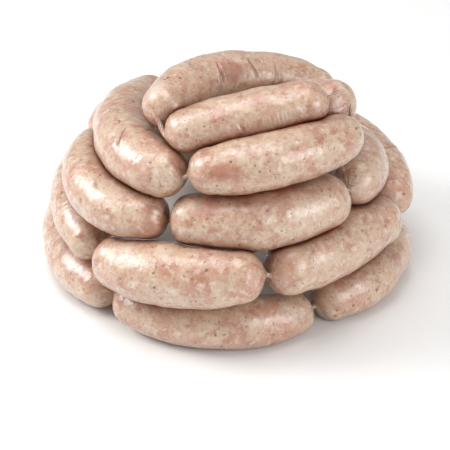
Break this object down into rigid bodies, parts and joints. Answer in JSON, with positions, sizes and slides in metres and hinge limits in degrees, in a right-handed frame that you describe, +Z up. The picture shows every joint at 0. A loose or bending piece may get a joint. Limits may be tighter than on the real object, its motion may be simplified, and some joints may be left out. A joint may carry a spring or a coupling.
{
  "type": "string of sausage links",
  "caption": "Raw sausage links on one twisted casing, coiled up into a rounded heap that rests on its flat underside.",
  "frame": {"origin": "on the table, under the middle of the heap's footprint", "axes": "+Z up from the table, +X to the right and -Y towards the viewer who stands at the front, where the third link of each turn lies"},
  "size_m": [0.223, 0.2204, 0.1403],
  "materials": {
    "raw_sausage": "raw pork sausage in a thin wet natural casing: pale pinkish beige, mottled with red-brown meat, whitish fat and herb specks, semi-gloss",
    "empty_casing": "twisted empty natural casing: pale, translucent and damp"
  },
  "bodies": {
    "root": {"link_01": "raw_sausage", "link_02": "raw_sausage", "link_03": "raw_sausage", "link_04": "raw_sausage", "link_05": "raw_sausage", "link_06": "raw_sausage", "link_07": "raw_sausage", "link_08": "raw_sausage", "link_09": "raw_sausage", "link_10": "raw_sausage", "link_11": "raw_sausage", "link_12": "raw_sausage", "link_13": "raw_sausage", "link_14": "raw_sausage", "link_15": "raw_sausage", "link_16": "raw_sausage", "link_17": "raw_sausage", "link_18": "raw_sausage", "link_19": "raw_sausage", "link_20": "raw_sausage", "link_21": "raw_sausage", "twist_01": "empty_casing", "twist_02": "empty_casing", "twist_03": "empty_casing", "twist_04": "empty_casing", "twist_05": "empty_casing", "twist_06": "empty_casing", "twist_07": "empty_casing", "twist_08": "empty_casing", "twist_09": "empty_casing", "twist_10": "empty_casing", "twist_11": "empty_casing", "twist_12": "empty_casing", "twist_13": "empty_casing", "twist_14": "empty_casing", "twist_15": "empty_casing", "twist_16": "empty_casing", "twist_17": "empty_casing", "twist_18": "empty_casing", "twist_19": "empty_casing", "twist_20": "empty_casing", "tail_first": "empty_casing", "tail_last": "empty_casing"}
  },
  "joints": []
}
